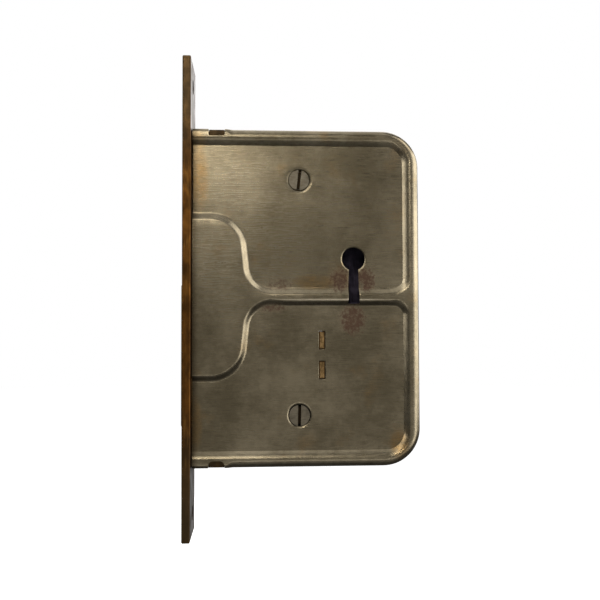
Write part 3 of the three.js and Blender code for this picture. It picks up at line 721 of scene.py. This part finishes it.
def plain_metal(name, dark, light, grain=ALONG_Z, roughness=(0.3, 0.45), shade_grime_below=None, shade_oil_reach=None):
    """Plain worn metal.

    shade_grime_below is the Y beyond which a recess in the near face is painted dark: painted shade and
    dirt. shade_oil_reach is the radius of the dark patch round the levers' pivot: painted shade and oil.
    """
    s = Shader(name)
    lines = s.noise(scale=grain, size=0.25, detail=4)
    blotch = s.noise(size=5, detail=7, rough=0.6)
    tone = s.mix(s.ramp(s.blend(lines, 0.4, blotch), 0.35, 0.65), dark, light)
    if shade_grime_below is not None:
        # painted shade and dirt deep in the screws' slots and round their heads
        tone = s.mix(s.ramp(s.axis("Y"), shade_grime_below, shade_grime_below + 0.15), tone, RECESS_SHADE_GRIME)
    if shade_oil_reach is not None:
        # painted shade and oil on the levers round their pivot
        tone = s.mix(s.spot(SCREW_X, MID_Z + SCREW_UP, shade_oil_reach, shade_oil_reach, 3), tone, PIVOT_SHADE_OIL)
    rough = s.ramp(blotch, 0.3, 0.7, roughness[1], roughness[0])
    normal = s.bump(lines, 0.3, 0.015)
    normal = s.bump(s.noise(size=0.9, detail=6), 0.25, 0.03, normal)
    return s.finish(tone, rough, 1.0, normal)


def soften(obj, width, segments=2):
    """Rounds off the edges of a CAD node and smooths its turned faces."""
    weld = obj.modifiers.new("weld", "WELD")
    weld.merge_threshold = WELD_GAP * MM
    flat = obj.modifiers.new("flat", "DECIMATE")
    flat.decimate_type = "DISSOLVE"
    flat.angle_limit = math.radians(FLAT_ANGLE)
    bevel = obj.modifiers.new("edge", "BEVEL")
    bevel.width = width * MM
    bevel.segments = segments
    bevel.limit_method = "ANGLE"
    bevel.angle_limit = math.radians(EDGE_ANGLE)
    bevel.use_clamp_overlap = True
    bevel.harden_normals = False
    obj.data.shade_smooth()
    tidy = obj.modifiers.new("normals", "WEIGHTED_NORMAL")
    tidy.keep_sharp = True


def paint(obj, *materials):
    obj.data.materials.clear()
    for material in materials:
        obj.data.materials.append(material)


def slot_looks():
    """The material of each slot of the CAD nodes that stay."""
    screw, brass = ((0.1, 0.086, 0.062), (0.22, 0.19, 0.14)), ((0.28, 0.18, 0.06), (0.55, 0.39, 0.16))
    return {
        "faceplate_bronze": patina_bronze("patina bronze"),
        "bolt_bronze": patina_bronze("worn bolt bronze", (0.16, 0.09, 0.03), (0.42, 0.27, 0.1)),
        # its slots get painted shade and dirt
        "screw_steel": plain_metal("screw steel", *screw, ACROSS_SCREW, shade_grime_below=PANEL_Y + 0.16),
        "plain_steel": plain_metal("plain steel", (0.1, 0.1, 0.095), (0.24, 0.235, 0.22)),
        # painted shade and oil round the pivot
        "lever_brass": plain_metal("lever brass", *brass, ALONG_X, shade_oil_reach=7),
        "spring_steel": plain_metal("spring steel", (0.05, 0.055, 0.07), (0.14, 0.15, 0.18)),
    }


def own_looks():
    """Materials of the nodes that don't look like the rest of their slot."""
    dull = patina_bronze("dull brown bronze", (0.02, 0.012, 0.007), (0.075, 0.045, 0.02))
    oily = plain_metal("oily dark steel", (0.02, 0.016, 0.011), (0.06, 0.05, 0.038), roughness=(0.4, 0.6))
    return {
        "lever_pivot_post": oily,
        "lower_cover_post": oily,
        "bolt_guide_plate": tenon_bronze("brown bolt guide"),
        "upper_front_lug": dull,
        "lower_front_lug": dull,
    }


def dress():
    """Builds the smooth case and gives every piece its material."""
    # the sheets' inside: painted shade, with grime
    shaded_grimy = plain_metal("grimy steel inside", INSIDE_SHADE_DARK, INSIDE_SHADE_LIGHT, roughness=(0.55, 0.7))
    build_cover(pressed_steel("cover steel", rusty=True), shaded_grimy)
    build_back(pressed_steel("back steel", rusty=False), shaded_grimy)
    by_slot, by_node = slot_looks(), own_looks()
    slots = {part["node"]: part["material_slot"] for part in frame["record"]["subparts"]}
    for name, obj in frame["nodes"].items():
        if slots[name] in by_slot:
            paint(obj, by_node.get(name, by_slot[slots[name]]))
            soften(obj, EDGE_WIDTHS.get(name, OTHER_EDGES))


# ------------------------------------------------ stage
def floor():
    """A wide pale floor below the lock."""
    disc = [(x, y, FLOOR_Z / MM) for x, y in circle(0, 0, FLOOR_RADIUS / MM, 0)]
    sheet = make_mesh("floor", disc, [tuple(range(len(disc)))], Vector((0, 0, 1)))
    s = Shader("pale paper")
    tone = s.mix(s.noise(size=40, detail=3), (0.9, 0.9, 0.9), (0.93, 0.93, 0.93))
    s.finish(tone, 0.9, 0.0)
    s.surface.inputs["Emission Color"].default_value = (1, 1, 1, 1)
    s.surface.inputs["Emission Strength"].default_value = FLOOR_GLOW
    paint(sheet, s.material)
    sheet.visible_glossy = False


def softbox(name, place, size, power, tint=(1, 1, 1)):
    data = bpy.data.lights.new(name, "AREA")
    data.shape = "RECTANGLE"
    data.size, data.size_y = size
    data.energy = power
    data.color = tint
    lamp = bpy.data.objects.new(name, data)
    lamp.location = place
    lamp.rotation_euler = (Vector(LIT_MIDDLE) - Vector(place)).to_track_quat("-Z", "Y").to_euler()
    lamp.visible_camera = False
    bpy.context.scene.collection.objects.link(lamp)


def room():
    """A pale room to the camera that lights the metal only dimly, so that the softboxes shape it."""
    world = bpy.data.worlds.new("room")
    world.use_nodes = True
    nodes, links = world.node_tree.nodes, world.node_tree.links
    dim = nodes["Background"]
    dim.inputs["Color"].default_value = (0.95, 0.97, 1, 1)
    dim.inputs["Strength"].default_value = 0.1
    pale = nodes.new("ShaderNodeBackground")
    pale.inputs["Color"].default_value = (1, 1, 1, 1)
    pale.inputs["Strength"].default_value = 1.0
    rays = nodes.new("ShaderNodeLightPath")
    mixed = nodes.new("ShaderNodeMixShader")
    links.new(rays.outputs["Is Camera Ray"], mixed.inputs["Fac"])
    links.new(dim.outputs["Background"], mixed.inputs[1])
    links.new(pale.outputs["Background"], mixed.inputs[2])
    links.new(mixed.outputs["Shader"], nodes["World Output"].inputs["Surface"])
    bpy.context.scene.world = world


def light():
    """Softboxes all round, each for the faces and slopes that mirror it."""
    room()
    softbox("front fill", (0.05, -1.1, -0.18), (1.2, 0.9), 1.12, (1, 0.97, 0.9))
    softbox("upper left", (-0.08, -0.85, 0.36), (0.05, 0.3), 1.4, (1, 0.96, 0.88))
    softbox("above front", (-0.3, -0.62, 0.6), (0.7, 0.2), 2.2, (1, 0.98, 0.93))
    softbox("broad above", (-0.2, -0.08, 0.85), (1.0, 1.0), 3.7)
    softbox("over the top", (-0.05, 0.45, 0.8), (1.2, 0.4), 2.4)
    softbox("low front", (0.05, -0.9, -0.46), (1.0, 0.1), 0.6)
    softbox("below front", (0.05, -0.62, -0.72), (1.2, 0.5), 0.35)
    softbox("left strip", (-0.8, -0.35, 0.27), (0.2, 0.6), 2.3)
    softbox("right front", (0.74, -0.56, -0.05), (0.45, 0.8), 3.4)
    softbox("right strip", (0.93, -0.02, 0.2), (1.05, 0.7), 9.2)
    softbox("upper right", (0.6, -0.25, 0.62), (0.4, 0.35), 1.5)
    softbox("behind", (0.3, 0.9, 0.5), (0.8, 0.6), 3)
    softbox("back fill", (-0.1, 1.1, -0.05), (1.2, 0.9), 1.6)


def camera():
    """Stands in front of the case, a little right of the faceplate, and looks slightly up and right."""
    data = bpy.data.cameras.new("camera")
    data.sensor_width = SENSOR
    data.lens = LENS
    data.clip_start, data.clip_end = 0.01, 20
    made = bpy.data.objects.new("camera", data)
    back = -Vector(CAMERA_AHEAD).normalized()
    up = Vector(CAMERA_UP)
    side = up.cross(back).normalized()
    up = back.cross(side)
    turn = Matrix((side, up, back)).transposed().to_4x4()
    made.matrix_world = Matrix.Translation(Vector(CAMERA_AT)) @ turn
    bpy.context.scene.collection.objects.link(made)
    bpy.context.scene.camera = made


dress()
floor()
light()
camera()
bpy.context.scene.view_settings.view_transform = "Standard"
